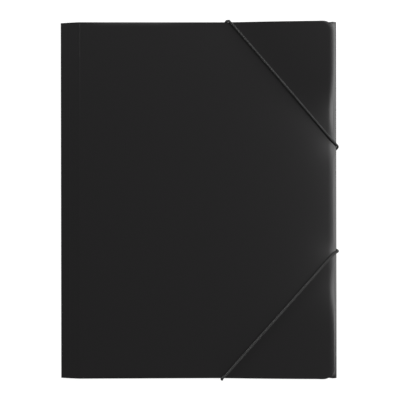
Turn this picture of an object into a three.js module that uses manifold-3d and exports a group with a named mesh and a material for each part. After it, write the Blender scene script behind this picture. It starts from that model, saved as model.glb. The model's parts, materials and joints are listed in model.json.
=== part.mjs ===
// A closed three flap folder of black polypropylene sheet, with two round elastic corner bands.
// Millimetres. It lies on its back: +X runs from the spine fold to the opening side, +Y to the
// head of the folder and +Z up, out of the front cover. The origin is the middle of its footprint.

import * as THREE from "three";
import { mergeVertices } from "three/addons/utils/BufferGeometryUtils.js";
import Module from "manifold-3d";

const wasm = await Module();
wasm.setup();

// Sheet and closed size
const SHEET = 0.5;
const HALF_SHEET = SHEET / 2;
const HEIGHT = 320;
const WIDTH = 248.2;
const END = HEIGHT / 2;
const FOLD_RADIUS = 0.5; // of the sheet's middle, where it turns back on itself
const GAP = 0.3; // kept between touching pieces

// Elastic bands
const CORD = 2;
const CORD_RADIUS = CORD / 2;
const CORD_OFFSET = CORD_RADIUS + GAP;
const CORD_SIDES = 10;
const HOLE_INSET = 13; // from the folded edge to the hole that a band ends in
const HOLE_RADIUS = CORD_RADIUS + GAP;
const CLIP = { length: 9, width: 1.6, thickness: 0.8 };

// Plan, measured from the middle of the footprint, which the bands widen on the opening side
const SPINE_X = -(WIDTH + GAP + CORD) / 2;
const SIDE_X = SPINE_X + WIDTH;
const COVER_END = END - 0.6;
const COVER_EDGE_X = SIDE_X - 3;
const COVER_CORNER = 10;

// Spine: a strip between the back panel and the cover, scored along its middle
const MIDDLE_CREASE_X = SPINE_X + 8;
const MIDDLE_CREASE_Z = 4.3;
const CREASE_DEPTH = 0.15;
const CREASE_HALF_WIDTH = 0.5;

// Flaps
const END_FLAP_DEPTH = 85;
const END_FLAP_START_X = -112;
const END_FLAP_END_X = 108;
const END_FLAP_TAPER = 10;
const SIDE_FLAP_WIDTH = 100;
const SIDE_FLAP_TAPER = 16;
const FLAP_CORNER = 12;
const EXPANSION_CREASE = 14; // from the folded edge to the second score line of a flap
// Towards its two ends the side flap springs up from its fold to the expansion crease, and it comes
// down again over the fade beyond the crease
const FLAP_SPRING = { height: 3.2, from: 70, to: 150, fade: 50 };

// Heights of the sheet's middle, for the part that lies over the bands
const PANEL_LIFT = CORD + GAP;
const PANEL_Z = PANEL_LIFT + HALF_SHEET;
const END_FOLD = { run: 3, rise: 1.7, knee: 1.6 };
const SIDE_FOLD = { run: 3.6, rise: 2.45, knee: 2 };

// The back panel lies on the table along the spine and climbs onto the bands
const CLIMB_START_X = -90;
const CLIMB_END_X = 5;

// The cover's height at its hinge line and in its middle, how the bands press it down where they
// wrap its edges, and how it droops along its free edge: between them, and past each of them
// where the corner that springs up curls over again
const COVER_Z = 7.95;
const COVER_SAG = { drop: 0.6, width: 110 };
const END_PINCH = { depth: 1.1, reach: 40 };
const SIDE_PINCH = { depth: 1.4, reach: 15 };
const PINCH_ROUNDING = 5;
const DROOP = { depth: 0.8, reach: 13, halfLength: 50, fade: 45 };
const CURL = { share: 0.34, reach: 20, past: 32, halfLength: 22 };
const CORNER_ROUNDING = 8;
const COVER_SETTLES = 20; // from the front crease to where the bands' pull is first felt

// Hinge lines of the spine strip and of the cover. The joined sheets end clear of them.
const SPINE_AXIS = { x: SPINE_X + HALF_SHEET, z: 0.7 };
const COVER_AXIS = { x: SPINE_X + 17, z: COVER_Z };
const HINGE_CLEARANCE = 0.45;

// Where each band leaves the front over the head or the foot and its rise over run across the
// front, how far the corner that it holds springs up beyond it, and how much of its slant it keeps
// on its way round the two edges
const UPPER_BAND = {
  sign: 1,
  endX: 27.1,
  slope: 1.165,
  spring: 8.8,
  springReach: 60,
  endCreep: 0.5,
  sideCreep: 0.65,
};
const LOWER_BAND = {
  sign: -1,
  endX: 19.8,
  slope: 1.117,
  spring: 5.8,
  springReach: 50,
  endCreep: 0.05,
  sideCreep: 0.37,
};

const radians = THREE.MathUtils.degToRad;

const evenly = (from, to, steps) =>
  Array.from({ length: steps + 1 }, (_, k) => from + ((to - from) * k) / steps);

const smooth = (t) => {
  const u = Math.min(1, Math.max(0, t));
  return u * u * (3 - 2 * u);
};

const panelZ = (x) =>
  HALF_SHEET + PANEL_LIFT * smooth((x - CLIMB_START_X) / (CLIMB_END_X - CLIMB_START_X));

const sideY = ({ endX, slope }) => END - slope * (SIDE_X - endX);

const pinch = ({ depth, reach }, dx, dy) =>
  depth * Math.exp(-(Math.hypot(dx, dy, PINCH_ROUNDING) - PINCH_ROUNDING) / reach);

// Distance beyond a band's line across the front, towards the corner that it holds
const beyondBand = ({ sign, endX, slope }, x, y) =>
  (slope * (x - endX) + (sign * y - END)) / Math.hypot(1, slope);

function coverZ(x, y) {
  const beyondEnd = Math.max(0, Math.abs(y) - DROOP.halfLength) / DROOP.fade;
  const droop = DROOP.depth * Math.exp((x - COVER_EDGE_X) / DROOP.reach - beyondEnd * beyondEnd);
  let pull = -droop;
  for (const band of [UPPER_BAND, LOWER_BAND]) {
    const along = band.sign * y;
    pull -= pinch(END_PINCH, x - band.endX, along - END);
    pull -= pinch(SIDE_PINCH, x - SIDE_X, along - sideY(band));
    const d = beyondBand(band, x, y);
    const beyond = (d + Math.hypot(d, CORNER_ROUNDING)) / 2;
    pull += band.spring * (1 - Math.exp(-beyond / band.springReach));
    const fromMiddle = (along - sideY(band) - CURL.past) / CURL.halfLength;
    const curl = Math.exp((x - COVER_EDGE_X) / CURL.reach - fromMiddle * fromMiddle);
    pull -= CURL.share * band.spring * curl;
  }
  const sag = COVER_SAG.drop * smooth((x - COVER_AXIS.x) / COVER_SAG.width);
  return COVER_Z - sag + pull * smooth((x - COVER_AXIS.x) / COVER_SETTLES);
}

// Sheet solids: a closed skin over a grid of { p, n, up, down }, which are a point of the sheet's
// middle, its normal, and how far the two faces stand off it.
function sheetSolid(grid) {
  const rows = grid.length;
  const columns = grid[0].length;
  const positions = [];
  for (const { p, n, up, down } of grid.flat()) {
    positions.push(p.x + n.x * up, p.y + n.y * up, p.z + n.z * up);
    positions.push(p.x - n.x * down, p.y - n.y * down, p.z - n.z * down);
  }
  const upper = (i, j) => 2 * (i * columns + j);
  const lower = (i, j) => upper(i, j) + 1;
  const index = [];
  const quad = (a, b, c, d) => index.push(a, b, c, a, c, d);
  for (let i = 0; i < rows - 1; i += 1) {
    for (let j = 0; j < columns - 1; j += 1) {
      quad(upper(i, j), upper(i + 1, j), upper(i + 1, j + 1), upper(i, j + 1));
      quad(lower(i, j), lower(i, j + 1), lower(i + 1, j + 1), lower(i + 1, j));
    }
    const last = columns - 1;
    quad(upper(i, 0), lower(i, 0), lower(i + 1, 0), upper(i + 1, 0));
    quad(upper(i, last), upper(i + 1, last), lower(i + 1, last), lower(i, last));
  }
  for (let j = 0; j < columns - 1; j += 1) {
    const last = rows - 1;
    quad(upper(0, j), upper(0, j + 1), lower(0, j + 1), lower(0, j));
    quad(upper(last, j), lower(last, j), lower(last, j + 1), upper(last, j + 1));
  }
  const geometry = new THREE.BufferGeometry();
  geometry.setAttribute("position", new THREE.Float32BufferAttribute(positions, 3));
  geometry.setIndex(signedVolume(positions, index) < 0 ? index.reverse() : index);
  return geometry;
}

function signedVolume(positions, index) {
  const corner = (k) => new THREE.Vector3().fromArray(positions, 3 * index[k]);
  let volume = 0;
  for (let k = 0; k < index.length; k += 3) {
    volume += corner(k).dot(corner(k + 1).cross(corner(k + 2))) / 6;
  }
  return volume;
}

// The sheet's middle seen end on: points { w, z, half, groove } in order. Each gets the normal
// on the left of the direction of travel, and the groove is cut from that side.
function profile(points) {
  return points.map(({ w, z, half = HALF_SHEET, groove = 0 }, k) => {
    const before = points[Math.max(0, k - 1)];
    const after = points[Math.min(points.length - 1, k + 1)];
    const length = Math.hypot(after.w - before.w, after.z - before.z);
    const nw = -(after.z - before.z) / length;
    const nz = (after.w - before.w) / length;
    return { w, z, nw, nz, up: half - groove, down: half };
  });
}

const straight = (stations, z) => stations.map((w) => ({ w, z }));

const arc = (w, z, radius, from, to, steps) =>
  evenly(radians(from), radians(to), steps).map((angle) => ({
    w: w + radius * Math.cos(angle),
    z: z + radius * Math.sin(angle),
  }));

// A score line at a point of the profile, with the slopes of the sheet on either side of it
const creased = (w, z, slopeBefore, slopeAfter) => [
  { w: w - CREASE_HALF_WIDTH, z: z - slopeBefore * CREASE_HALF_WIDTH },
  { w, z, groove: CREASE_DEPTH },
  { w: w + CREASE_HALF_WIDTH, z: z + slopeAfter * CREASE_HALF_WIDTH },
];

// A sheet's end rounded about a hinge line, from which the sheet goes on at the given slope
const roundedEnd = ({ x, z }, slope) =>
  [80, 45, 0].map((degrees) => {
    const back = (HALF_SHEET * Math.sin(radians(degrees))) / Math.hypot(1, slope);
    return { w: x - back, z: z - back * slope, half: HALF_SHEET * Math.cos(radians(degrees)) };
  });

// Distances from an edge of rows that follow a round corner, and how far it cuts in at each
const cornerRows = (radius, steps) =>
  evenly(0, 90, steps).map((degrees) => radius * (1 - Math.cos(radians(degrees))));

function cornerCut(radius, distance) {
  const d = Math.max(0, radius - distance);
  return radius - Math.sqrt(Math.max(0, radius * radius - d * d));
}

// The strip is as long as the back panel at the spine fold and as the cover at the front crease
const stripEnd = (x) =>
  END - ((END - COVER_END) * Math.max(0, x - SPINE_AXIS.x)) / (COVER_AXIS.x - SPINE_AXIS.x);

function spineStrip() {
  const lowerSlope = (MIDDLE_CREASE_Z - SPINE_AXIS.z) / (MIDDLE_CREASE_X - SPINE_AXIS.x);
  const upperSlope = (COVER_AXIS.z - MIDDLE_CREASE_Z) / (COVER_AXIS.x - MIDDLE_CREASE_X);
  const stop = (HALF_SHEET + GAP) / Math.hypot(1, upperSlope);
  const points = profile([
    ...roundedEnd(SPINE_AXIS, lowerSlope),
    ...creased(MIDDLE_CREASE_X, MIDDLE_CREASE_Z, lowerSlope, upperSlope),
    { w: COVER_AXIS.x - stop, z: COVER_AXIS.z - stop * upperSlope },
  ]);
  const grid = points.map(({ w, z, nw, nz, up, down }) => {
    const end = stripEnd(w);
    return evenly(-end, end, 4).map((y) => ({
      p: new THREE.Vector3(w, y, z),
      n: new THREE.Vector3(nw, 0, nz),
      up,
      down,
    }));
  });
  return sheetSolid(grid);
}

function frontCover() {
  const bend = COVER_EDGE_X - COVER_CORNER - 6;
  const plan = [-100, -92, -78, -62, -46, -30, -15, 0, 14, 28, 42, 56, 68, 80, 90, 98, bend];
  const edge = [bend + 5, bend + 9, COVER_EDGE_X - 2.5, COVER_EDGE_X];
  const corner = cornerRows(COVER_CORNER, 5).map((d) => COVER_END - d);
  const half = [...corner, 144, 132, 118, 104, 90, 76, 64, 54, 46, 36, 24, 12];
  const rows = [...half, 0, ...half.map((y) => -y).reverse()];
  const grid = rows.map((y) => {
    const reach = COVER_EDGE_X - cornerCut(COVER_CORNER, COVER_END - Math.abs(y));
    const share = (reach - bend) / (COVER_EDGE_X - bend);
    const stations = [...plan, ...edge.map((x) => bend + (x - bend) * share)];
    const points = profile([
      ...roundedEnd(COVER_AXIS, 0),
      ...stations.map((x) => ({ w: x, z: coverZ(x, y) })),
    ]);
    return points.map(({ w, z, nw, nz, up, down }) => ({
      p: new THREE.Vector3(w, y, z),
      n: new THREE.Vector3(nw, 0, nz),
      up,
      down,
    }));
  });
  return sheetSolid(grid);
}

// A flap's way round from its expansion crease, over the folded edge, to the panel below it.
// The panel is at height 0 of this profile and the flap at the fold's rise.
function foldedEdge(edge, { run, rise, knee }) {
  const turn = edge - HALF_SHEET - FOLD_RADIUS;
  const upperAngle = 60;
  const [foldTop] = arc(turn, FOLD_RADIUS, FOLD_RADIUS, upperAngle, -90, 5);
  const slope = (foldTop.z - knee) / (foldTop.w - (edge - run));
  const fall = (knee - rise) / (EXPANSION_CREASE - run);
  return [
    ...creased(edge - EXPANSION_CREASE, rise, 0, fall),
    ...creased(edge - run, knee, fall, slope),
    ...arc(turn, FOLD_RADIUS, FOLD_RADIUS, upperAngle, -90, 5),
  ];
}

// Back panel with the head and foot flaps folded in over it
function panelWithEndFlaps() {
  const free = END - END_FLAP_DEPTH;
  const folded = [
    ...straight(cornerRows(FLAP_CORNER, 3).map((d) => free + d), END_FOLD.rise),
    ...straight([110], END_FOLD.rise),
    ...foldedEdge(END, END_FOLD),
  ];
  const panelEnd = folded.at(-1).w;
  const points = profile([
    ...folded,
    ...straight(evenly(panelEnd, -panelEnd, 6).slice(1, -1), 0),
    ...folded.map((point) => ({ ...point, w: -point.w })).reverse(),
  ]);
  const columns = [0, 0.05, 0.11, 0.18, 0.25, 0.32, 0.39, 0.46, 0.54, 0.76, 0.95, 1];
  const grid = points.map(({ w, z, nw, nz, up, down }) => {
    const depth = END - Math.abs(w);
    const inset =
      (END_FLAP_TAPER * depth) / END_FLAP_DEPTH + cornerCut(FLAP_CORNER, END_FLAP_DEPTH - depth);
    const isPanel = Math.abs(w) <= panelEnd && Math.abs(z) < FOLD_RADIUS / 2;
    const from = isPanel ? END_FLAP_START_X - 4 : END_FLAP_START_X + inset;
    const to = isPanel ? SIDE_X - 6 : END_FLAP_END_X - inset;
    return columns.map((share) => {
      const x = from + (to - from) * share;
      return {
        p: new THREE.Vector3(x, w, panelZ(x) + z),
        n: new THREE.Vector3(0, nw, nz),
        up,
        down,
      };
    });
  });
  return sheetSolid(grid);
}

function flapLift(w, y, z) {
  const inward = SIDE_X - w;
  const along = smooth((Math.abs(y) - FLAP_SPRING.from) / (FLAP_SPRING.to - FLAP_SPRING.from));
  const climb = Math.min(1, inward / EXPANSION_CREASE) * Math.min(1, z / (2 * FOLD_RADIUS));
  const fall = 1 - smooth((inward - EXPANSION_CREASE) / FLAP_SPRING.fade);
  return FLAP_SPRING.height * along * climb * fall;
}

// Opening side of the back panel, its folded edge, and the side flap that lies over the others
function sideFlap() {
  const rows = [-1, -0.93, -0.8, -0.68, -0.56, -0.44, 0, 0.44, 0.56, 0.68, 0.8, 0.93, 1];
  const free = SIDE_X - SIDE_FLAP_WIDTH;
  const points = profile([
    ...straight(cornerRows(FLAP_CORNER, 4).map((d) => free + d), SIDE_FOLD.rise),
    ...straight([59, 75, 92], SIDE_FOLD.rise),
    ...foldedEdge(SIDE_X, SIDE_FOLD),
    ...straight([SIDE_X - 10], 0),
  ]);
  const grid = points.map(({ w, z, nw, nz, up, down }) => {
    const isFlap = z > 2 * FOLD_RADIUS;
    const inward = SIDE_X - SIDE_FOLD.run - w;
    const taper = isFlap ? (SIDE_FLAP_TAPER * Math.max(0, inward)) / SIDE_FLAP_WIDTH : 0;
    const end = END - taper - (isFlap ? cornerCut(FLAP_CORNER, w - free) : 0);
    return rows.map((share) => ({
      p: new THREE.Vector3(w, share * end, PANEL_Z + z + flapLift(w, share * end, z)),
      n: new THREE.Vector3(nw, 0, nz),
      up,
      down,
    }));
  });
  return sheetSolid(grid);
}

// Spine side of the back panel, out to the strip's hinge line
function spineEdge() {
  const stations = [SPINE_AXIS.x + HINGE_CLEARANCE, END_FLAP_START_X - 2];
  const grid = stations.map((x) =>
    [-END, END].map((y) => ({
      p: new THREE.Vector3(x, y, HALF_SHEET),
      n: new THREE.Vector3(0, 0, 1),
      up: HALF_SHEET,
      down: HALF_SHEET,
    })),
  );
  return sheetSolid(grid);
}

// A band round an edge, seen end on: the places of its middle, from the front to the back, as it
// is wound tight over the given circles
function woundOver(circles, startAngle) {
  return evenly(startAngle, -90, Math.round((startAngle + 90) / 15)).map((degrees) => {
    const [c, s] = [Math.cos(radians(degrees)), Math.sin(radians(degrees))];
    const support = (circle) => circle.w * c + circle.z * s + circle.r;
    const held = circles.reduce((a, b) => (support(b) > support(a) ? b : a));
    return { w: held.w + (held.r + CORD_OFFSET) * c, z: held.z + (held.r + CORD_OFFSET) * s };
  });
}

// The band's way round an edge and in under the back to its hole, as { w, along, z }. It moves
// along the edge in proportion to the length wound, with its full slant only under the back.
function tail(circles, startAngle, edge, slant, creep) {
  const hole = edge - HOLE_INSET;
  const route = [];
  let length = 0;
  for (const { w, z } of woundOver(circles, startAngle)) {
    const last = route.at(-1);
    if (last) length += Math.hypot(w - last.w, z - last.z);
    route.push({ w, along: length * slant * creep, z });
  }
  const { w: backW, along: backAlong } = route.at(-1);
  const under = (w, z) => ({ w, along: backAlong + (backW - w) * slant, z });
  const turnRadius = CORD_OFFSET;
  const turnRun = turnRadius * Math.cos(Math.atan(slant));
  route.push(under((backW + hole) / 2, CORD_RADIUS));
  for (const degrees of evenly(0, 90, 4)) {
    const [c, s] = [Math.cos(radians(degrees)), Math.sin(radians(degrees))];
    route.push(under(hole + turnRun * (1 - s), CORD_RADIUS + turnRadius * (1 - c)));
  }
  route.push(under(hole, PANEL_LIFT + SHEET - GAP / 3));
  return route;
}

function bandRoute(band) {
  const foldCircle = (edge) => ({
    w: edge - HALF_SHEET - FOLD_RADIUS,
    z: PANEL_Z + FOLD_RADIUS,
    r: HALF_SHEET + FOLD_RADIUS,
  });
  const coverTop = (x, y) => coverZ(x, band.sign * y) + HALF_SHEET;
  const frontY = (x) => END - band.slope * (x - band.endX);
  const endCircles = [{ w: COVER_END, z: coverTop(band.endX, COVER_END), r: 0 }, foldCircle(END)];
  const endWay = tail(endCircles, 90, END, 1 / band.slope, band.endCreep);
  const endTail = endWay.map(({ w, along, z }) => [band.endX - along, w, z]);
  const sideStart = frontY(COVER_EDGE_X);
  const sideCircles = [
    { w: COVER_EDGE_X, z: coverTop(COVER_EDGE_X, sideStart), r: 0 },
    foldCircle(SIDE_X),
  ];
  const sideWay = tail(sideCircles, 75, SIDE_X, band.slope, band.sideCreep);
  const sideTail = sideWay.map(({ w, along, z }) => [w, sideStart - along, z]);
  const front = evenly(band.endX, COVER_EDGE_X, 9)
    .slice(1, -1)
    .map((x) => [x, frontY(x), coverTop(x, frontY(x)) + CORD_OFFSET]);
  return [...endTail.reverse(), ...front, ...sideTail].map(
    ([x, y, z]) => new THREE.Vector3(x, band.sign * y, z),
  );
}

// A route whose steps fall on its own points, so that tight bends keep enough of them
class Route extends THREE.Curve {
  constructor(points) {
    super();
    this.points = points;
  }
  getPointAt(u, target = new THREE.Vector3()) {
    const at = Math.min(1, Math.max(0, u)) * (this.points.length - 1);
    const k = Math.min(this.points.length - 2, Math.floor(at));
    return target.lerpVectors(this.points[k], this.points[k + 1], at - k);
  }
  getTangentAt(u, target = new THREE.Vector3()) {
    const halfStep = 0.5 / (this.points.length - 1);
    const before = this.getPointAt(u - halfStep);
    return this.getPointAt(u + halfStep, target).sub(before).normalize();
  }
}

function elasticBand(route) {
  const angles = evenly(0, 2 * Math.PI, CORD_SIDES).slice(0, -1);
  const section = new THREE.Shape(
    angles.map((a) => new THREE.Vector2(CORD_RADIUS * Math.cos(a), CORD_RADIUS * Math.sin(a))),
  );
  return new THREE.ExtrudeGeometry(section, { steps: route.length - 1, extrudePath: new Route(route) });
}

// A flat steel bar clamped across the end of a band, inside the folder
function clipBar() {
  const [reach, half] = [(CLIP.length - CLIP.width) / 2, CLIP.width / 2];
  const outline = new THREE.Shape();
  outline.absarc(reach, 0, half, -Math.PI / 2, Math.PI / 2);
  outline.absarc(-reach, 0, half, Math.PI / 2, (3 * Math.PI) / 2);
  return new THREE.ExtrudeGeometry(outline, {
    depth: CLIP.thickness,
    bevelEnabled: false,
    curveSegments: 6,
  });
}

function holeCutter(x, y) {
  const cutter = new THREE.CylinderGeometry(HOLE_RADIUS, HOLE_RADIUS, 4 * SHEET, 20);
  cutter.rotateX(Math.PI / 2);
  cutter.translate(x, y, PANEL_Z);
  return cutter;
}

function solidOf(geometry) {
  const bare = geometry.clone();
  bare.deleteAttribute("normal");
  bare.deleteAttribute("uv");
  const merged = mergeVertices(bare, 1e-4);
  const vertProperties = merged.attributes.position.array;
  const triVerts = new Uint32Array(merged.index.array);
  return new wasm.Manifold(new wasm.Mesh({ numProp: 3, vertProperties, triVerts }));
}

function geometryOf(solid) {
  const { vertProperties, triVerts } = solid.getMesh();
  const geometry = new THREE.BufferGeometry();
  geometry.setAttribute("position", new THREE.BufferAttribute(vertProperties, 3));
  geometry.setIndex(new THREE.BufferAttribute(triVerts, 1));
  geometry.computeVertexNormals();
  return geometry;
}

// Assembly
const plastic = new THREE.MeshStandardMaterial({ color: 0x242324, roughness: 0.5, metalness: 0 });
const elastic = new THREE.MeshStandardMaterial({ color: 0x1a1a19, roughness: 0.85, metalness: 0 });
const steel = new THREE.MeshStandardMaterial({ color: 0xb9bbbd, roughness: 0.3, metalness: 1 });

const folder = new THREE.Group();

function place(name, geometry, material) {
  const mesh = new THREE.Mesh(geometry, material);
  mesh.name = name;
  folder.add(mesh);
  return mesh;
}

let back = solidOf(panelWithEndFlaps()).add(solidOf(sideFlap())).add(solidOf(spineEdge()));

for (const [name, band] of Object.entries({ upper: UPPER_BAND, lower: LOWER_BAND })) {
  const route = bandRoute(band);
  place(`${name}_elastic`, elasticBand(route), elastic);
  const ends = [
    { where: "end", hole: route[0], turn: 0 },
    { where: "side", hole: route.at(-1), turn: Math.PI / 2 },
  ];
  for (const { where, hole, turn } of ends) {
    const clip = place(`${name}_${where}_clip`, clipBar(), steel);
    clip.position.set(hole.x, hole.y, hole.z + GAP);
    clip.rotation.z = turn;
    back = back.subtract(solidOf(holeCutter(hole.x, hole.y)));
  }
}

place("back_sheet", geometryOf(back), plastic);
place("spine_strip", spineStrip(), plastic);
place("front_cover", frontCover(), plastic);

export default folder;
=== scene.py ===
"""A closed three flap folder of black polypropylene sheet, held shut by two round elastic bands.

It lies on its back: +X runs from the spine to the opening side, +Y to the head of the folder and
+Z up, out of the front cover. Lengths are metres. The file is laid out as an add-on with one
operator for each group of pieces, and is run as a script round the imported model.
"""

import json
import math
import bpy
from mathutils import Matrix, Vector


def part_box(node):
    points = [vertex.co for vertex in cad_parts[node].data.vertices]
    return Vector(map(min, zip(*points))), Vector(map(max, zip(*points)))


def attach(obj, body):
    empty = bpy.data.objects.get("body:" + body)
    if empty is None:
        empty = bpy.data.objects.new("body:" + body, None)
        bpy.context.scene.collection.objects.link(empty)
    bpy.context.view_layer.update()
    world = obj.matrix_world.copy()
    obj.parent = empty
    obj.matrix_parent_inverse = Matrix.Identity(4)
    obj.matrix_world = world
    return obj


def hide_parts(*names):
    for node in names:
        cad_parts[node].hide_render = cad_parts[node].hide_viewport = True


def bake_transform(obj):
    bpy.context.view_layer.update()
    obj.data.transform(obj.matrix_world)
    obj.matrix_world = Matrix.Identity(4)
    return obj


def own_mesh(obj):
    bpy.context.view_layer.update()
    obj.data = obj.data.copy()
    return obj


bl_info = {
    "name": "Three Flap Folder",
    "version": (1, 0, 0),
    "blender": (4, 5, 0),
    "location": "3D View > Sidebar > Folder",
    "description": "Builds the sheets, braided bands, clips and studio of a three flap folder",
    "category": "Object",
}

import bmesh
import bpy
import numpy as np
from bpy.props import FloatProperty, FloatVectorProperty, IntProperty, PointerProperty
from bpy.types import Operator, Panel, PropertyGroup
from mathutils import Matrix, Vector

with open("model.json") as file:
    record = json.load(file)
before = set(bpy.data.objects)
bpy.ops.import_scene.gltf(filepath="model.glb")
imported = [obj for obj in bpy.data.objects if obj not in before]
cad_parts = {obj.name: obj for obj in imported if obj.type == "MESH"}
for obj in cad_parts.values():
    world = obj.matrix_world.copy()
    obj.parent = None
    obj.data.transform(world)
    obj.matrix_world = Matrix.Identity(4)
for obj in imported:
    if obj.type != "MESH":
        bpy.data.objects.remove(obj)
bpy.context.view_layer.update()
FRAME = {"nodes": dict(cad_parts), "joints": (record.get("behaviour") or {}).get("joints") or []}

MM = 0.001

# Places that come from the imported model
JOINTS = {joint["name"]: joint for joint in FRAME["joints"]}
SPINE_AXIS = Vector(JOINTS["spine_hinge"]["pos_m"])
COVER_AXIS = Vector(JOINTS["cover_hinge"]["pos_m"])
_, BACK_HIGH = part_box("back_sheet")
_, COVER_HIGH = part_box("front_cover")
END = BACK_HIGH.y
SIDE_X = BACK_HIGH.x
COVER_END = COVER_HIGH.y
COVER_EDGE_X = COVER_HIGH.x
CLIPS = [name for name in FRAME["nodes"] if name.endswith("_clip")]

# Sheet, folds and score lines
SHEET = 0.5 * MM
HALF_SHEET = SHEET / 2
EASED_EDGE = 0.1 * MM
GAP = 0.3 * MM
FOLD_RADIUS = 0.5 * MM
COVER_CORNER = 10 * MM
MIDDLE_CREASE = Vector((SPINE_AXIS.x + 7.75 * MM, 0, 4.3 * MM))
SCORE_HALF_WIDTH = 0.6 * MM
# How far apart points are: on the back panel, the flat flaps, curved parts and across a score line
PANEL_STEP = 4 * MM
FLAP_STEP = 6 * MM
CURVED_STEP = 2 * MM
SCORE_STEP = 0.2 * MM

# Flaps
END_FLAP = {"depth": 85 * MM, "start": -112 * MM, "stop": 108 * MM, "taper": 10 * MM}
SIDE_FLAP = {"width": 100 * MM, "taper": 16 * MM}
FLAP_CORNER = 12 * MM
EXPANSION_CREASE = 14 * MM
# Towards its ends the side flap springs up to its expansion crease, and comes down beyond it
FLAP_SPRING = {"height": 3.2 * MM, "from": 70 * MM, "to": 150 * MM, "fade": 50 * MM}
END_FOLD = {"run": 3 * MM, "rise": 1.7 * MM, "knee": 1.6 * MM}
SIDE_FOLD = {"run": 3.6 * MM, "rise": 2.45 * MM, "knee": 2.0 * MM}

# Elastic bands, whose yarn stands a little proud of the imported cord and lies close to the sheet
CORD_RADIUS = 1.1 * MM
CORD_OFFSET = CORD_RADIUS + 0.1 * MM
HOLE_INSET = 13 * MM
HOLE_RADIUS = 1.3 * MM
# Where each band leaves the front over the head or the foot, its rise over run, how far the corner
# beyond it springs up and over what reach, and how much of its slant it keeps on its way round the
# two edges
BANDS = {
    "upper_elastic": {
        "sign": 1,
        "end_x": 27.1 * MM,
        "slope": 1.165,
        "spring": 8.8 * MM,
        "reach": 60 * MM,
        "end_creep": 0.5,
        "side_creep": 0.65,
    },
    "lower_elastic": {
        "sign": -1,
        "end_x": 19.8 * MM,
        "slope": 1.117,
        "spring": 5.8 * MM,
        "reach": 50 * MM,
        "end_creep": 0.05,
        "side_creep": 0.37,
    },
}

# The back panel lies flat at the spine, and climbs between two places onto the bands under it
PANEL_LIFT = 2.3 * MM
PANEL_Z = PANEL_LIFT + HALF_SHEET
CLIMB = (-90 * MM, 5 * MM)
# The cover sags from the spine on, and the bands press it down where they wrap its edges
COVER_SAG = {"drop": 0.6 * MM, "width": 110 * MM}
END_PINCH = {"depth": 1.1 * MM, "reach": 40 * MM}
SIDE_PINCH = {"depth": 1.4 * MM, "reach": 15 * MM}
PINCH_ROUNDING = 5 * MM
# It droops along its free edge between the bands, and curls over along that edge beyond them
DROOP = {"depth": 0.8 * MM, "reach": 13 * MM, "half_length": 50 * MM, "fade": 45 * MM}
CURL = {"share": 0.34, "reach": 20 * MM, "past": 32 * MM, "half_length": 22 * MM}
# How softly it bends along a band's line, and how far from the score line all this sets in
CORNER_ROUNDING = 8 * MM
COVER_SETTLES = 20 * MM
# How the cover's cut edges curl down: the free edge more beyond a distance from the middle
EDGE_TURN = {
    "width": 5 * MM,
    "drop": 0.25 * MM,
    "at_corner": {1: 0.35 * MM, -1: 0.15 * MM},
    "from": 50 * MM,
    "fade": 40 * MM,
}
END_TURN = {
    "width": 4 * MM,
    "drop": 0.5 * MM,
    "start": -112 * MM,
    "start_fade": 30 * MM,
    "stop": 18 * MM,
    "stop_fade": 60 * MM,
}
# The ridge beside the front score line
LIP = {"height": 0.09 * MM, "place": 0.95 * MM, "half_width": 0.35 * MM}

# Braid of the bands: how fine it is drawn, and how far a strand rises over one that it crosses
STRAND_RADIUS = 0.2 * MM
STRAND_STEP = 0.2 * MM
STRAND_RISE = 0.45

# Paper floor, just below the back, and how much of it the camera sees as glow and as matte paper
FLOOR_REACH = 4.0
FLOOR_Z = -0.2 * MM
PAPER_GLOW = 0.93
PAPER_MATTE = 0.18
# Soft boxes: where each stands, its size along the floor and upright, and its power's setting
LAMPS = {
    "side_soft_box": {"place": (1.25, 0.2, 0.87), "size": (1.26, 1.54), "power": "side_power"},
    "head_soft_box": {"place": (0.14, 1.2, 0.98), "size": (0.84, 0.56), "power": "head_power"},
    "low_soft_box": {"place": (-0.88, 1.66, 0.42), "size": (1.0, 0.5), "power": "low_power"},
}

# Camera: straight above the folder, as far off as the photograph's perspective says
CAMERA_HEIGHT = 0.8
CAMERA_LENS = 79.7
SENSOR_WIDTH = 36
CAMERA_PLACE = (0.23 * MM, 0.23 * MM)
CAMERA_ROLL = math.radians(-0.095)


def linear(hex_colour):
    """An sRGB hex colour as linear red, green and blue."""
    channels = [int(hex_colour[k : k + 2], 16) / 255 for k in (1, 3, 5)]
    return tuple(c / 12.92 if c <= 0.04045 else ((c + 0.055) / 1.055) ** 2.4 for c in channels)


# Settings


class SheetSettings(PropertyGroup):
    colour: FloatVectorProperty(
        name="Sheet colour",
        description="Colour of the polypropylene, as dyed",
        subtype="COLOR",
        size=3,
        min=0,
        max=1,
        default=linear("#0c0b0c"),
    )
    grain: FloatProperty(
        name="Grain",
        description="Width of one bump of the embossed surface",
        default=0.9 * MM,
        unit="LENGTH",
        precision=5,
    )
    score_depth: FloatProperty(
        name="Score depth",
        description="How deep the score lines are pressed into the sheet",
        default=0.14 * MM,
        unit="LENGTH",
        precision=5,
    )


class BandSettings(PropertyGroup):
    colour: FloatVectorProperty(
        name="Yarn colour",
        description="Colour of the braided yarn round the rubber core",
        subtype="COLOR",
        size=3,
        min=0,
        max=1,
        default=linear("#303030"),
    )
    strands: IntProperty(
        name="Strands each way",
        description="Strands that wind each way round the core",
        default=8,
        min=2,
    )
    pitch: FloatProperty(
        name="Braid pitch",
        description="Length of cord in which a strand goes once round",
        default=7 * MM,
        unit="LENGTH",
        precision=5,
    )


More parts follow.
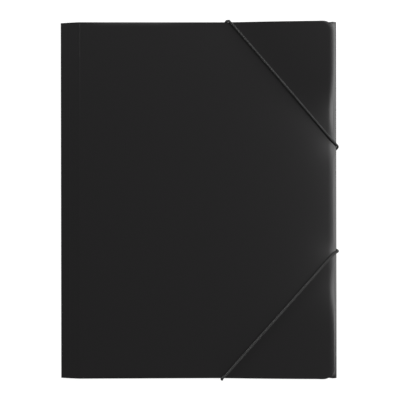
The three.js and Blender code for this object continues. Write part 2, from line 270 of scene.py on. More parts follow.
class StageSettings(PropertyGroup):
    floor_colour: FloatVectorProperty(
        name="Floor colour",
        description="Colour of the paper floor",
        subtype="COLOR",
        size=3,
        min=0,
        max=1,
        default=linear("#f2f2f2"),
    )
    side_power: FloatProperty(
        name="Side light",
        description="Power of the large soft box beyond the opening side",
        default=30.0,
        unit="POWER",
    )
    head_power: FloatProperty(
        name="Head light",
        description="Power of the smaller soft box beyond the head",
        default=5.0,
        unit="POWER",
    )
    low_power: FloatProperty(
        name="Low light",
        description="Power of the low soft box beyond the head",
        default=45.0,
        unit="POWER",
    )
    fill: FloatProperty(
        name="Fill",
        description="Strength of the even light from all round",
        default=0.27,
        subtype="FACTOR",
    )


# Rules of the folded shape


def smooth(t):
    """Eases from 0 to 1 as t goes from 0 to 1."""
    u = np.clip(t, 0, 1)
    return u * u * (3 - 2 * u)


def panel_z(x):
    """Middle of the back panel, which lies on the table at the spine and climbs onto the bands."""
    return HALF_SHEET + PANEL_LIFT * smooth((x - CLIMB[0]) / (CLIMB[1] - CLIMB[0]))


def pinch(band_pinch, dx, dy):
    """How far a band presses the cover down at a distance from where it wraps an edge."""
    distance = np.sqrt(dx**2 + dy**2 + PINCH_ROUNDING**2) - PINCH_ROUNDING
    return band_pinch["depth"] * np.exp(-distance / band_pinch["reach"])


def beyond_band(band, x, y):
    """Distance from a band's line across the front, towards the corner that it holds."""
    rise = band["sign"] * y - END
    return (band["slope"] * (x - band["end_x"]) + rise) / math.hypot(1, band["slope"])


def cover_z(x, y):
    """Middle of the front cover: it droops along its free edge and is pressed down by the bands,
    and its corners spring up beyond them and curl over along that edge."""
    beyond_end = np.maximum(0, np.abs(y) - DROOP["half_length"]) / DROOP["fade"]
    droop = np.exp((x - COVER_EDGE_X) / DROOP["reach"] - beyond_end**2)
    pull = -DROOP["depth"] * droop
    for band in BANDS.values():
        along = band["sign"] * y
        side_y = END - band["slope"] * (SIDE_X - band["end_x"])
        pull = pull - pinch(END_PINCH, x - band["end_x"], along - END)
        pull = pull - pinch(SIDE_PINCH, x - SIDE_X, along - side_y)
        d = beyond_band(band, x, y)
        beyond = (d + np.sqrt(d**2 + CORNER_ROUNDING**2)) / 2
        pull = pull + band["spring"] * (1 - np.exp(-beyond / band["reach"]))
        from_middle = (along - side_y - CURL["past"]) / CURL["half_length"]
        curl = np.exp((x - COVER_EDGE_X) / CURL["reach"] - from_middle**2)
        pull = pull - CURL["share"] * band["spring"] * curl
    sag = COVER_SAG["drop"] * smooth((x - COVER_AXIS.x) / COVER_SAG["width"])
    sag = sag + end_turn(x, y)
    return COVER_AXIS.z - sag + pull * smooth((x - COVER_AXIS.x) / COVER_SETTLES)


def end_turn(x, y):
    """How far the cover's head and foot edges curl down, left of the bands."""
    near = np.maximum(0, 1 - (COVER_END - np.abs(y)) / END_TURN["width"]) ** 2
    begun = smooth((x - END_TURN["start"]) / END_TURN["start_fade"])
    left = smooth((END_TURN["stop"] - x) / END_TURN["stop_fade"])
    return END_TURN["drop"] * near * (begun * left)


def edge_turn(inside, y):
    """How far the cover's free edge curls down at a distance inside it, most at the corner that
    springs up furthest."""
    near = max(0, 1 - inside / EDGE_TURN["width"]) ** 2
    share = smooth((abs(y) - EDGE_TURN["from"]) / EDGE_TURN["fade"])
    corner = EDGE_TURN["at_corner"][1 if y > 0 else -1] * share
    return (EDGE_TURN["drop"] + corner) * near


def score(distance, depth):
    """Depth of a score line's rounded groove at a distance from its middle."""
    t = np.clip(np.abs(distance) / SCORE_HALF_WIDTH, 0, 1)
    return depth * (1 + math.cos(math.pi * t)) / 2


def lip(x, y):
    """The low ridge that scoring raises beside the front score line, strongest at the head."""
    t = np.clip(np.abs(x - COVER_AXIS.x - LIP["place"]) / LIP["half_width"], 0, 1)
    return LIP["height"] * (1 + math.cos(math.pi * t)) / 2 * (0.2 + 0.8 * smooth(y / END))


def corner_cut(radius, distance):
    """How far a round corner cuts in at a distance from the end that it starts from."""
    d = max(0, radius - distance)
    return radius - math.sqrt(max(0, radius * radius - d * d))


def evenly(start, stop, spacing):
    """Stations from start to stop, no further apart than the spacing."""
    steps = max(1, math.ceil(abs(stop - start) / spacing - 1e-6))
    return [start + (stop - start) * k / steps for k in range(steps + 1)]


def score_stations(middle):
    """Stations close together across a score line."""
    return evenly(middle - SCORE_HALF_WIDTH, middle + SCORE_HALF_WIDTH, SCORE_STEP)


# Mesh making


def new_object(name, vertices, edges=(), faces=()):
    """A new mesh object in the scene, at the origin."""
    mesh = bpy.data.meshes.new(name)
    mesh.from_pydata([tuple(v) for v in vertices], edges, faces)
    mesh.validate()
    obj = bpy.data.objects.new(name, mesh)
    bpy.context.scene.collection.objects.link(obj)
    return obj


def made_plain(obj):
    """Applies an object's modifiers by taking a plain mesh of what they give."""
    depsgraph = bpy.context.evaluated_depsgraph_get()
    name = obj.data.name
    mesh = bpy.data.meshes.new_from_object(obj.evaluated_get(depsgraph), depsgraph=depsgraph)
    old = obj.data
    obj.modifiers.clear()
    obj.data = mesh
    bpy.data.meshes.remove(old)
    mesh.name = name
    if not mesh.polygons:
        raise RuntimeError(f"{obj.name} came out with no faces")
    return obj


def sheet_piece(name, points, faces):
    """A sheet with eased cut edges, from its middle surface."""
    obj = new_object(name, points, faces=faces)
    solidify = obj.modifiers.new("Thickness", "SOLIDIFY")
    solidify.thickness = SHEET
    solidify.offset = 0
    solidify.use_even_offset = True
    bevel = obj.modifiers.new("Eased edges", "BEVEL")
    bevel.width = EASED_EDGE
    bevel.segments = 2
    bevel.limit_method = "ANGLE"
    bevel.angle_limit = math.radians(50)
    made_plain(obj)
    for polygon in obj.data.polygons:
        polygon.use_smooth = True
    obj.data.set_sharp_from_angle(angle=math.radians(60))
    return obj


def grid_faces(rows, columns, wanted=None):
    """Faces of a grid of points, rows first, for the cells that are wanted."""
    faces = []
    for i in range(rows - 1):
        for j in range(columns - 1):
            if wanted is None or wanted(i, j):
                a = i * columns + j
                faces.append((a, a + 1, a + columns + 1, a + columns))
    return faces


# Front cover with the spine strip: one scored sheet


def spine_and_cover_line():
    """Stations along the sheet from the spine fold to the front score line, as x and z."""
    line = []
    lower = [(MIDDLE_CREASE - SPINE_AXIS), SPINE_AXIS]
    upper = [(COVER_AXIS - MIDDLE_CREASE), MIDDLE_CREASE]
    for direction, start in (lower, upper):
        for share in evenly(0, 1, 1.2 * MM / direction.length)[:-1]:
            line.append((start.x + direction.x * share, start.z + direction.z * share))
    return line


def strip_end(x):
    """Half length of the strip: the back panel's at the spine fold, the cover's at the crease."""
    share = (x - SPINE_AXIS.x) / (COVER_AXIS.x - SPINE_AXIS.x)
    return END - (END - COVER_END) * share


def build_cover(settings):
    """The cover, its rounded free corners and the strip that folds round the spine."""
    score_depth = settings.score_depth
    bend = COVER_EDGE_X - COVER_CORNER - 6 * MM
    spine_x = sorted(
        set(x for x, _ in spine_and_cover_line())
        | set(score_stations(MIDDLE_CREASE.x))
        | set(x for x in score_stations(COVER_AXIS.x) if x <= COVER_AXIS.x)
    )
    # Stations are close together at the score line and its ridge, and where the free edge turns
    plan_x = [x for x in score_stations(COVER_AXIS.x) if x > COVER_AXIS.x]
    plan_x += evenly(plan_x[-1], COVER_AXIS.x + 1.4 * MM, 0.12 * MM)[1:]
    plan_x += evenly(plan_x[-1], bend, CURVED_STEP)[1:]
    edge_x = evenly(bend, COVER_EDGE_X - EDGE_TURN["width"], 1.5 * MM)[1:]
    edge_x += evenly(COVER_EDGE_X - EDGE_TURN["width"], COVER_EDGE_X, 0.5 * MM)[1:]
    corner_y = [
        COVER_END - COVER_CORNER * (1 - math.cos(math.radians(a))) for a in range(0, 91, 9)
    ]
    half_y = corner_y + evenly(corner_y[-1], 0, CURVED_STEP)[1:]
    rows = half_y + [-y for y in reversed(half_y[:-1])]
    points = []
    for y in rows:
        reach = COVER_EDGE_X - corner_cut(COVER_CORNER, COVER_END - abs(y))
        for x in spine_x:
            if x < MIDDLE_CREASE.x:
                start, stop = SPINE_AXIS, MIDDLE_CREASE
            else:
                start, stop = MIDDLE_CREASE, COVER_AXIS
            z = start.z + (stop.z - start.z) * (x - start.x) / (stop.x - start.x)
            groove = score(x - MIDDLE_CREASE.x, score_depth)
            groove += score(x - COVER_AXIS.x, score_depth)
            points.append((x, y * strip_end(x) / COVER_END, z - groove))
        for x in plan_x:
            z = cover_z(x, y) + lip(x, y) - score(x - COVER_AXIS.x, score_depth)
            points.append((x, y, z))
        for x in edge_x:
            # The columns beyond the bend follow the rounded corner
            moved = bend + (x - bend) * (reach - bend) / (COVER_EDGE_X - bend)
            points.append((moved, y, cover_z(moved, y) - edge_turn(reach - moved, y)))
    columns = len(points) // len(rows)
    return sheet_piece("cover_and_spine", points, grid_faces(len(rows), columns))


# Back panel with its three flaps: one folded sheet


def fold_curve(edge, fold):
    """The middle of the sheet round a folded edge, from the flap down to the panel.

    Each point is a place across the edge and a height above the panel."""
    knee = edge - fold["run"]
    outermost = edge - HALF_SHEET
    upper = [math.radians(a) for a in range(90, 0, -9)]
    lower = [math.radians(a) for a in range(0, -91, -10)]
    half_height = fold["knee"] - FOLD_RADIUS
    curve = [
        (knee + (outermost - knee) * math.cos(a), FOLD_RADIUS + half_height * math.sin(a))
        for a in upper
    ]
    turn = outermost - FOLD_RADIUS
    curve += [
        (turn + FOLD_RADIUS * math.cos(a), FOLD_RADIUS * (1 + math.sin(a))) for a in lower
    ]
    return curve


def folded_edge(edge, fold, score_depth):
    """The middle of a flap seen end on, from its expansion crease over the edge to the panel."""
    curve = fold_curve(edge, fold)
    knee = curve[0][0]
    expansion = edge - EXPANSION_CREASE
    line = [
        (w, fold["rise"] - score(w - expansion, score_depth)) for w in score_stations(expansion)
    ]
    start = line[-1][0]
    for w in evenly(start, knee, CURVED_STEP)[1:-1]:
        share = (w - start) / (knee - start)
        line.append((w, fold["rise"] + (fold["knee"] - fold["rise"]) * smooth(share)))
    return line + curve


def flap_lift(x, y, z):
    """How far the side flap springs up at a place, from its height above the panel."""
    inward = SIDE_X - x
    span = FLAP_SPRING["to"] - FLAP_SPRING["from"]
    along = smooth((abs(y) - FLAP_SPRING["from"]) / span)
    climb = min(1, inward / EXPANSION_CREASE) * min(1, z / (2 * FOLD_RADIUS))
    fall = 1 - smooth((inward - EXPANSION_CREASE) / FLAP_SPRING["fade"])
    return FLAP_SPRING["height"] * along * climb * fall


def build_back(settings):
    """The back panel and its flaps, folded from a flat cross of sheet."""
    side = folded_edge(SIDE_X, SIDE_FOLD, settings.score_depth)
    end = folded_edge(END, END_FOLD, settings.score_depth)
    side_free = SIDE_X - SIDE_FLAP["width"]
    end_free = END - END_FLAP["depth"]
    corner = [FLAP_CORNER * (1 - math.cos(math.radians(a))) for a in range(0, 91, 15)]
    side_flat = [(side_free + d, SIDE_FOLD["rise"]) for d in corner]
    side_flat += [
        (x, SIDE_FOLD["rise"]) for x in evenly(side_free + FLAP_CORNER, side[0][0], FLAP_STEP)[1:-1]
    ]
    end_flat = [(end_free + d, END_FOLD["rise"]) for d in corner]
    end_flat += [
        (y, END_FOLD["rise"]) for y in evenly(end_free + FLAP_CORNER, end[0][0], FLAP_STEP)[1:-1]
    ]
    side_line = (side_flat + side)[::-1]
    end_line = (end_flat + end)[::-1]
    panel_right = side_line[0][0]
    panel_top = end_line[0][0]
    fold_x = SPINE_AXIS.x + SPINE_AXIS.z - HALF_SHEET
    panel_x = evenly(fold_x, END_FLAP["start"], PANEL_STEP)
    panel_x += evenly(END_FLAP["start"], END_FLAP["stop"], PANEL_STEP)[1:]
    panel_x += evenly(END_FLAP["stop"], panel_right, PANEL_STEP)[1:]
    panel_y = evenly(-panel_top, panel_top, PANEL_STEP)
    # The sheet turns up a quarter circle at the spine, to where the strip is hinged
    turn_radius = fold_x - SPINE_AXIS.x
    spine_turn = [fold_x - turn_radius * math.cos(math.radians(a)) for a in range(0, 90, 15)]
    # A column or row is its place in the flat cross: the panel's stations, then the flap's
    columns = [(x, None) for x in spine_turn] + [(x, None) for x in panel_x]
    columns += side_line[1:]
    rows = [(-w, z) for w, z in reversed(end_line[1:])]
    rows += [(y, None) for y in panel_y]
    rows += end_line[1:]
    first_flap_column = len(spine_turn) + panel_x.index(END_FLAP["start"])
    last_flap_column = len(spine_turn) + panel_x.index(END_FLAP["stop"])
    points = []
    for y, end_z in rows:
        for x, side_z in columns:
            if end_z is not None and side_z is None:
                depth = END - abs(y)
                inset = END_FLAP["taper"] * depth / END_FLAP["depth"]
                inset += corner_cut(FLAP_CORNER, END_FLAP["depth"] - depth)
                flat = end_z > END_FOLD["rise"] / 2
                share = (x - END_FLAP["start"]) / (END_FLAP["stop"] - END_FLAP["start"])
                moved = x + inset * (1 - 2 * share) if flat else x
                points.append((moved, y, panel_z(moved) + end_z))
            elif side_z is not None:
                flat = side_z > SIDE_FOLD["rise"] / 2
                inward = max(0, SIDE_X - SIDE_FOLD["run"] - x)
                inset = SIDE_FLAP["taper"] * inward / SIDE_FLAP["width"]
                inset += corner_cut(FLAP_CORNER, x - side_free)
                moved = y * (END - inset if flat else END) / panel_top
                points.append((x, moved, PANEL_Z + side_z + flap_lift(x, moved, side_z)))
            elif x < fold_x:
                rise = turn_radius - math.sqrt(turn_radius**2 - (fold_x - x) ** 2)
                points.append((x, y * END / panel_top, HALF_SHEET + rise))
            else:
                stretch = smooth((x - fold_x) / (END_FLAP["start"] - fold_x))
                points.append((x, y * (END / panel_top * (1 - stretch) + stretch), panel_z(x)))
    first_panel_row = len(end_line) - 1
    last_panel_row = first_panel_row + len(panel_y) - 1

    def wanted(i, j):
        in_panel_rows = first_panel_row <= i < last_panel_row
        in_end_flap = first_flap_column <= j < last_flap_column
        return in_panel_rows or in_end_flap

    back = sheet_piece("back_and_flaps", points, grid_faces(len(rows), len(columns), wanted))
    punch_holes(back)
    close_spine_fold(back.data)
    return back


def add_rod(mesh, radius, length, place):
    """Adds a closed round rod to a mesh, along the Z of its place."""
    rod = bmesh.new()
    rod.from_mesh(mesh)
    bmesh.ops.create_cone(
        rod, cap_ends=True, segments=24, radius1=radius, radius2=radius, depth=length, matrix=place
    )
    rod.to_mesh(mesh)
    rod.free()


def punch_holes(back):
    """Punches the four holes in which the bands end."""
    punch = new_object("punch", [])
    for band in BANDS.values():
        route = band_route(band)
        for x, y, _ in (route[0], route[-1]):
            add_rod(punch.data, HOLE_RADIUS, 4 * SHEET, Matrix.Translation((x, y, PANEL_Z)))
    cut = back.modifiers.new("Holes", "BOOLEAN")
    cut.object = punch
    cut.operation = "DIFFERENCE"
    cut.solver = "EXACT"
    made_plain(back)
    bpy.data.meshes.remove(punch.data)


def close_spine_fold(mesh):
    """Rounds the fold between the back panel and the strip about the strip's hinge line."""
    along_y = Matrix.Rotation(math.radians(90), 4, "X")
    add_rod(mesh, HALF_SHEET, 2 * END, Matrix.Translation(SPINE_AXIS) @ along_y)


# Elastic bands


def wound_over(circles, start_angle):
    """A band's middle round an edge, as it is wound tight over circles seen end on."""
    places = []
    for degrees in evenly(start_angle, -90, 5):
        c, s = math.cos(math.radians(degrees)), math.sin(math.radians(degrees))
        w, z, r = max(circles, key=lambda circle: circle[0] * c + circle[1] * s + circle[2])
        places.append((w + (r + CORD_OFFSET) * c, z + (r + CORD_OFFSET) * s))
    return places


def tail(circles, start_angle, edge, slant, creep):
    """A band's way round an edge and in under the back to its hole.

    Points are the place across the edge, the distance moved along it, and the height."""
    hole = edge - HOLE_INSET
    route = []
    length = 0
    for w, z in wound_over(circles, start_angle):
        if route:
            length += math.hypot(w - route[-1][0], z - route[-1][2])
        route.append((w, length * slant * creep, z))
    back_w, back_along, _ = route[-1]
    turn_run = CORD_OFFSET * math.cos(math.atan(slant))

    def under(w, z):
        route.append((w, back_along + (back_w - w) * slant, z))

    for w in evenly(back_w, hole + turn_run, CURVED_STEP)[1:-1]:
        under(w, CORD_RADIUS)
    for degrees in range(0, 91, 10):
        c, s = math.cos(math.radians(degrees)), math.sin(math.radians(degrees))
        under(hole + turn_run * (1 - s), CORD_RADIUS + CORD_OFFSET * (1 - c))
    under(hole, PANEL_LIFT + SHEET - GAP / 3)
    return route


def band_route(band):
    """The middle of a band from its hole behind the end, over the front, to its other hole."""
    sign, end_x, slope = band["sign"], band["end_x"], band["slope"]

    def cover_top(x, y):
        return float(cover_z(x, sign * y)) + HALF_SHEET

    def front_y(x):
        return END - slope * (x - end_x)

    def fold_circles(edge, fold):
        return [(w, PANEL_Z + z, HALF_SHEET) for w, z in fold_curve(edge, fold)]

    side_start = front_y(COVER_EDGE_X)
    end_circles = [(COVER_END, cover_top(end_x, COVER_END), 0)] + fold_circles(END, END_FOLD)
    side_circles = [(COVER_EDGE_X, cover_top(COVER_EDGE_X, side_start), 0)]
    side_circles += fold_circles(SIDE_X, SIDE_FOLD)
    end_way = tail(end_circles, 90, END, 1 / slope, band["end_creep"])
    end_tail = [(end_x - along, w, z) for w, along, z in end_way]
    side_way = tail(side_circles, 75, SIDE_X, slope, band["side_creep"])
    side_tail = [(w, side_start - along, z) for w, along, z in side_way]
    front = [
        (x, front_y(x), cover_top(x, front_y(x)) + CORD_OFFSET)
        for x in evenly(end_x, COVER_EDGE_X, CURVED_STEP)[1:-1]
    ]
    return [(x, sign * y, z) for x, y, z in end_tail[::-1] + front + side_tail]


def add_node(tree, kind, links=None, **settings):
    """Adds a node with its settings, and sets or links its inputs by name or number."""
    node = tree.nodes.new(kind)
    for key, value in settings.items():
        setattr(node, key, value)
    for key, value in (links or {}).items():
        if isinstance(value, bpy.types.NodeSocket):
            tree.links.new(value, node.inputs[key])
        else:
            node.inputs[key].default_value = value
    return node


def braid_tree():
    """Geometry Nodes: a core along a line, and strands that wind round it both ways, over and
    under each other."""
    tree = bpy.data.node_groups.new("Braided elastic", "GeometryNodeTree")
    face = tree.interface
    face.new_socket("Line", in_out="INPUT", socket_type="NodeSocketGeometry")
    for name in ("Cord radius", "Strand radius", "Braid pitch", "Step"):
        socket = face.new_socket(name, in_out="INPUT", socket_type="NodeSocketFloat")
        socket.subtype = "DISTANCE"
    face.new_socket("Strands each way", in_out="INPUT", socket_type="NodeSocketInt")
    face.new_socket("Yarn", in_out="INPUT", socket_type="NodeSocketMaterial")
    face.new_socket("Braid", in_out="OUTPUT", socket_type="NodeSocketGeometry")

    def math_node(operation, a, b=0.0):
        return add_node(tree, "ShaderNodeMath", {0: a, 1: b}, operation=operation).outputs[0]

    def scaled(vector, factor):
        links = {"Vector": vector, "Scale": factor}
        node = add_node(tree, "ShaderNodeVectorMath", links, operation="SCALE")
        return node.outputs["Vector"]

    given = add_node(tree, "NodeGroupInput").outputs
    curve = add_node(tree, "GeometryNodeMeshToCurve", {"Mesh": given["Line"]})
    links = {"Curve": curve.outputs["Curve"], "Length": given["Step"]}
    fine = add_node(tree, "GeometryNodeResampleCurve", links, mode="LENGTH").outputs["Curve"]

    # Every strand starts as a copy of the middle line
    both_ways = math_node("MULTIPLY", given["Strands each way"], 2.0)
    links = {"Geometry": fine, "Amount": both_ways}
    copies = add_node(tree, "GeometryNodeDuplicateElements", links, domain="SPLINE")
    index = copies.outputs["Duplicate Index"]
    number = math_node("FLOOR", math_node("DIVIDE", index, 2.0))
    way = math_node("SUBTRACT", math_node("MULTIPLY", math_node("MODULO", index, 2.0), 2.0), 1.0)

    # It turns about the line once in each pitch, and rises over each strand that it crosses
    length = add_node(tree, "GeometryNodeSplineParameter").outputs["Length"]
    turned = math_node("MULTIPLY", math_node("DIVIDE", length, given["Braid pitch"]), math.tau)
    start = math_node("DIVIDE", number, given["Strands each way"])
    start = math_node("MULTIPLY", start, math.tau)
    angle = math_node("ADD", math_node("MULTIPLY", turned, way), start)
    crossing = math_node("COSINE", math_node("MULTIPLY", turned, given["Strands each way"]))
    lift = math_node("MULTIPLY", math_node("MULTIPLY", crossing, way), STRAND_RISE)
    lift = math_node("MULTIPLY", lift, given["Strand radius"])
    middle = math_node("SUBTRACT", given["Cord radius"], given["Strand radius"])
    rise = math_node("MULTIPLY", given["Strand radius"], STRAND_RISE)
    middle = math_node("SUBTRACT", middle, rise)
    radius = math_node("ADD", middle, lift)

    normal = add_node(tree, "GeometryNodeInputNormal").outputs["Normal"]
    tangent = add_node(tree, "GeometryNodeInputTangent").outputs["Tangent"]
    cross = add_node(
        tree, "ShaderNodeVectorMath", {0: tangent, 1: normal}, operation="CROSS_PRODUCT"
    )
    along_normal = scaled(normal, math_node("MULTIPLY", radius, math_node("COSINE", angle)))
    along_cross = scaled(
        cross.outputs["Vector"], math_node("MULTIPLY", radius, math_node("SINE", angle))
    )
    offset = add_node(tree, "ShaderNodeVectorMath", {0: along_normal, 1: along_cross})
    links = {"Geometry": copies.outputs["Geometry"], "Offset": offset.outputs["Vector"]}
    wound = add_node(tree, "GeometryNodeSetPosition", links).outputs["Geometry"]

    def tube(path, tube_radius, sides):
        links = {"Resolution": sides, "Radius": tube_radius}
        circle = add_node(tree, "GeometryNodeCurvePrimitiveCircle", links).outputs["Curve"]
        links = {"Curve": path, "Profile Curve": circle, "Fill Caps": True}
        return add_node(tree, "GeometryNodeCurveToMesh", links).outputs["Mesh"]

    coarse_step = math_node("MULTIPLY", given["Step"], 4.0)
    links = {"Curve": curve.outputs["Curve"], "Length": coarse_step}
    coarse = add_node(tree, "GeometryNodeResampleCurve", links, mode="LENGTH").outputs["Curve"]
    core = tube(coarse, middle, 16)
    strands = tube(wound, given["Strand radius"], 4)
    joined = add_node(tree, "GeometryNodeJoinGeometry")
    for part in (strands, core):
        tree.links.new(part, joined.inputs["Geometry"])
    shaded = add_node(tree, "GeometryNodeSetShadeSmooth", {"Geometry": joined.outputs["Geometry"]})
    real = add_node(tree, "GeometryNodeRealizeInstances", {0: shaded.outputs["Geometry"]})
    links = {"Geometry": real.outputs["Geometry"], "Material": given["Yarn"]}
    painted = add_node(tree, "GeometryNodeSetMaterial", links)
    add_node(tree, "NodeGroupOutput", {0: painted.outputs["Geometry"]})
    return tree


def build_band(name, band, settings, tree, yarn):
    """One elastic band, braided along its route."""
    route = band_route(band)
    edges = [(k, k + 1) for k in range(len(route) - 1)]
    obj = new_object(name + "_braid", route, edges=edges)
    modifier = obj.modifiers.new("Braid", "NODES")
    modifier.node_group = tree
    values = {
        "Cord radius": CORD_RADIUS,
        "Strand radius": STRAND_RADIUS,
        "Braid pitch": settings.pitch,
        "Step": STRAND_STEP,
        "Strands each way": settings.strands,
        "Yarn": yarn,
    }
    for item in tree.interface.items_tree:
        if item.in_out == "INPUT" and item.name in values:
            modifier[item.identifier] = values[item.name]
    made_plain(obj)
    return obj


# Materials


def new_material(name):
    """A new material with an empty node tree, and that tree."""
    material = bpy.data.materials.new(name)
    material.use_nodes = True
    material.node_tree.nodes.clear()
    return material, material.node_tree


def finish_material(tree, shader):
    """Links a shader to the material's output."""
    add_node(tree, "ShaderNodeOutputMaterial", {"Surface": shader.outputs[0]})


def embossed_polypropylene(settings):
    """Polypropylene sheet, extruded and embossed between rollers: matte black with a fine grain
    that scatters low light into a soft sheen and leaves the rest of the face dark."""
    material, tree = new_material("Polypropylene sheet, roller embossed")
    place = add_node(tree, "ShaderNodeTexCoord").outputs["Object"]
    # The real grain is about 0.4 mm wide, and it is drawn about twice as wide so that it shows
    links = {"Vector": place, "Scale": 1 / settings.grain, "Detail": 2.0, "Roughness": 0.6}
    grain = add_node(tree, "ShaderNodeTexNoise", links).outputs["Fac"]
    links = {"Vector": place, "Scale": 1 / (14 * MM), "Detail": 2.0}
    waves = add_node(tree, "ShaderNodeTexNoise", links).outputs["Fac"]
    links = {"Height": waves, "Strength": 0.05, "Distance": 0.1 * MM}
    wavy = add_node(tree, "ShaderNodeBump", links).outputs["Normal"]
    links = {"Height": grain, "Strength": 0.24, "Distance": 0.05 * MM, "Normal": wavy}
    bump = add_node(tree, "ShaderNodeBump", links).outputs["Normal"]
    rough = add_node(tree, "ShaderNodeMapRange", {"Value": grain, "To Min": 0.26, "To Max": 0.32})
    links = {
        "Base Color": (*settings.colour, 1),
        "Roughness": rough.outputs["Result"],
        "IOR": 1.49,
        "Normal": bump,
    }
    finish_material(tree, add_node(tree, "ShaderNodeBsdfPrincipled", links))
    return material


def braided_yarn(settings):
    """Polyester yarn, braided tight round a rubber core: a dull black cord whose strands catch a
    thin line of light along its crown."""
    material, tree = new_material("Polyester yarn, braided")
    place = add_node(tree, "ShaderNodeTexCoord").outputs["Object"]
    # Filaments of about 0.02 mm are far too fine to show, and are drawn 0.1 mm wide
    links = {"Vector": place, "Scale": 1 / (0.1 * MM), "Detail": 1.0}
    fibres = add_node(tree, "ShaderNodeTexNoise", links).outputs["Fac"]
    links = {"Height": fibres, "Strength": 0.2, "Distance": 0.02 * MM}
    bump = add_node(tree, "ShaderNodeBump", links).outputs["Normal"]
    links = {
        "Base Color": (*settings.colour, 1),
        "Roughness": 0.38,
        "IOR": 1.5,
        "Specular IOR Level": 0.2,
        "Sheen Weight": 0.05,
        "Sheen Roughness": 0.4,
        "Normal": bump,
    }
    finish_material(tree, add_node(tree, "ShaderNodeBsdfPrincipled", links))
    return material


def rolled_steel():
    """Steel strip, rolled and nickel plated: satin metal with fine lines along the bar."""
    material, tree = new_material("Steel strip, nickel plated")
    place = add_node(tree, "ShaderNodeTexCoord").outputs["Object"]
    links = {"Vector": place, "Scale": (3000.0, 3000.0, 12000.0)}
    stretched = add_node(tree, "ShaderNodeMapping", links).outputs["Vector"]
    links = {"Vector": stretched, "Scale": 1.0, "Detail": 2.0}
    lines = add_node(tree, "ShaderNodeTexNoise", links).outputs["Fac"]
    rough = add_node(tree, "ShaderNodeMapRange", {"Value": lines, "To Min": 0.22, "To Max": 0.38})
    links = {"Height": lines, "Strength": 0.2, "Distance": 0.01 * MM}
    bump = add_node(tree, "ShaderNodeBump", links).outputs["Normal"]
    links = {
        "Base Color": (*linear("#c3c4c2"), 1),
        "Metallic": 1.0,
        "Roughness": rough.outputs["Result"],
        "Normal": bump,
    }
    finish_material(tree, add_node(tree, "ShaderNodeBsdfPrincipled", links))
    return material


def floor_paper(settings):
    """Background paper: matte white, and white to the camera but for the folder's own shadow.

    What the camera sees is nearly all glow, and a little matte paper keeps the shadow in it."""
    material, tree = new_material("Background paper, uncoated")
    colour = (*settings.floor_colour, 1)
    rays = add_node(tree, "ShaderNodeLightPath").outputs
    seen = add_node(tree, "ShaderNodeMath", {0: rays["Is Camera Ray"], 1: rays["Is Glossy Ray"]})
    seen = add_node(
        tree, "ShaderNodeMath", {0: seen.outputs[0], 1: rays["Is Transmission Ray"]}, use_clamp=True
    )
    matte = add_node(tree, "ShaderNodeBsdfDiffuse", {"Color": colour})
    grey = (PAPER_MATTE, PAPER_MATTE, PAPER_MATTE, 1)
    faint = add_node(tree, "ShaderNodeBsdfDiffuse", {"Color": grey})
    links = {"Color": (1, 1, 1, 1), "Strength": PAPER_GLOW}
    white = add_node(tree, "ShaderNodeEmission", links)
    shown = add_node(tree, "ShaderNodeAddShader", {0: faint.outputs[0], 1: white.outputs[0]})
    links = {0: seen.outputs[0], 1: matte.outputs[0], 2: shown.outputs[0]}
    finish_material(tree, add_node(tree, "ShaderNodeMixShader", links))
    return material


def give(obj, material):
    """Makes an object wholly of one material."""
    obj.data.materials.clear()
    obj.data.materials.append(material)
    return obj


def sheet_material(settings):
    """The sheet's material, made once for every piece of the sheet."""
    found = [m for m in bpy.data.materials if m.name.startswith("Polypropylene sheet")]
    return found[0] if found else embossed_polypropylene(settings)


# Studio


def hang_lamp(name, place, size, power):
    """A soft box that faces the folder, with its first size along the floor."""
    lamp = bpy.data.lights.new(name, "AREA")
    lamp.shape = "RECTANGLE"
    lamp.size, lamp.size_y = size
    lamp.energy = power
    box = bpy.data.objects.new(name, lamp)
    box.location = place
    box.rotation_euler = Vector(place).to_track_quat("Z", "Y").to_euler()
    bpy.context.scene.collection.objects.link(box)


# Operators


class FOLDER_OT_stage(Operator):
    """Lay the floor, hang the lights and set the camera over the folder"""

    bl_idname = "folder.stage"
    bl_label = "Studio"

    def execute(self, context):
        settings = context.scene.folder_stage
        sides = ((-1, -1), (1, -1), (1, 1), (-1, 1))
        corners = [(x * FLOOR_REACH, y * FLOOR_REACH, FLOOR_Z) for x, y in sides]
        floor = new_object("floor", corners, faces=[(0, 1, 2, 3)])
        floor.data.materials.append(floor_paper(settings))

        for name, lamp in LAMPS.items():
            hang_lamp(name, lamp["place"], lamp["size"], getattr(settings, lamp["power"]))

        world = bpy.data.worlds.new("Studio")
        context.scene.world = world
        world.use_nodes = True
        tree = world.node_tree
        tree.nodes.clear()
        rays = add_node(tree, "ShaderNodeLightPath").outputs
        strength = add_node(
            tree,
            "ShaderNodeMapRange",
            {"Value": rays["Is Camera Ray"], "To Min": settings.fill, "To Max": 1.0},
        )
        links = {"Color": (1, 1, 1, 1), "Strength": strength.outputs["Result"]}
        background = add_node(tree, "ShaderNodeBackground", links)
        add_node(tree, "ShaderNodeOutputWorld", {"Surface": background.outputs[0]})
        context.scene.view_settings.view_transform = "Standard"

        camera = bpy.data.cameras.new("camera")
        camera.lens = CAMERA_LENS
        camera.sensor_width = SENSOR_WIDTH
        camera.clip_end = 20
        eye = bpy.data.objects.new("camera", camera)
        eye.location = (*CAMERA_PLACE, CAMERA_HEIGHT)
        eye.rotation_euler.z = CAMERA_ROLL
        context.scene.collection.objects.link(eye)
        context.scene.camera = eye
        return {"FINISHED"}


class FOLDER_OT_cover(Operator):
    """Fold the front cover and the spine strip from one scored sheet"""

    bl_idname = "folder.cover"
    bl_label = "Cover and spine"

    def execute(self, context):
        settings = context.scene.folder_sheet
        cover = build_cover(settings)
        give(cover, sheet_material(settings))
        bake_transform(cover)
        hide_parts("spine_strip", "front_cover")
        return {"FINISHED"}


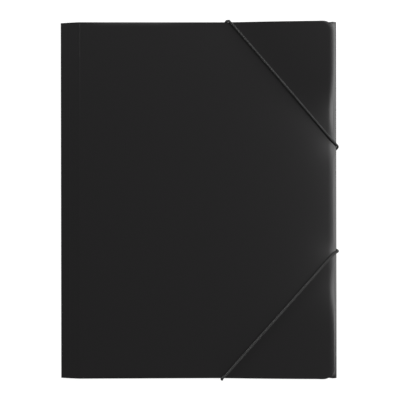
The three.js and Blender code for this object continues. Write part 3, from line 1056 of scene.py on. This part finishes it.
class FOLDER_OT_back(Operator):
    """Fold the back panel and its three flaps from one sheet and punch the bands' holes"""

    bl_idname = "folder.back"
    bl_label = "Back and flaps"

    def execute(self, context):
        settings = context.scene.folder_sheet
        back = build_back(settings)
        give(back, sheet_material(settings))
        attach(back, "back")
        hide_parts("back_sheet")
        return {"FINISHED"}


class FOLDER_OT_bands(Operator):
    """Braid the two elastic bands along their routes round the corners"""

    bl_idname = "folder.bands"
    bl_label = "Elastic bands"

    def execute(self, context):
        settings = context.scene.folder_band
        tree = braid_tree()
        yarn = braided_yarn(settings)
        for name, band in BANDS.items():
            braid = build_band(name, band, settings, tree, yarn)
            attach(braid, "back")
            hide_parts(name)
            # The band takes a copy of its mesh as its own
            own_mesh(braid)
        bpy.data.node_groups.remove(tree)
        return {"FINISHED"}


class FOLDER_OT_clips(Operator):
    """Plate the steel clips on the ends of the bands"""

    bl_idname = "folder.clips"
    bl_label = "Band clips"

    def execute(self, context):
        steel = rolled_steel()
        for name in CLIPS:
            give(FRAME["nodes"][name], steel)
        return {"FINISHED"}


class FOLDER_PT_panel(Panel):
    """Lists the folder's operators and settings"""

    bl_idname = "FOLDER_PT_panel"
    bl_label = "Three Flap Folder"
    bl_space_type = "VIEW_3D"
    bl_region_type = "UI"
    bl_category = "Folder"

    def draw(self, context):
        layout = self.layout
        scene = context.scene
        stage_names = ("floor_colour", "side_power", "head_power", "low_power", "fill")
        for settings, names in (
            (scene.folder_sheet, ("colour", "grain", "score_depth")),
            (scene.folder_band, ("colour", "strands", "pitch")),
            (scene.folder_stage, stage_names),
        ):
            for name in names:
                layout.prop(settings, name)
        for operator in OPERATORS:
            layout.operator(operator.bl_idname)


SETTINGS = {
    "folder_sheet": SheetSettings,
    "folder_band": BandSettings,
    "folder_stage": StageSettings,
}
OPERATORS = (FOLDER_OT_stage, FOLDER_OT_back, FOLDER_OT_cover, FOLDER_OT_bands, FOLDER_OT_clips)


def register():
    for group in SETTINGS.values():
        bpy.utils.register_class(group)
    for name, group in SETTINGS.items():
        setattr(bpy.types.Scene, name, PointerProperty(type=group))
    for item in (*OPERATORS, FOLDER_PT_panel):
        bpy.utils.register_class(item)


def unregister():
    for item in reversed((*OPERATORS, FOLDER_PT_panel)):
        bpy.utils.unregister_class(item)
    for name in SETTINGS:
        delattr(bpy.types.Scene, name)
    for group in reversed(list(SETTINGS.values())):
        bpy.utils.unregister_class(group)


def main():
    register()
    bpy.ops.folder.stage()
    bpy.ops.folder.back()
    bpy.ops.folder.cover()
    bpy.ops.folder.bands()
    bpy.ops.folder.clips()


if __name__ == "__main__":
    main()
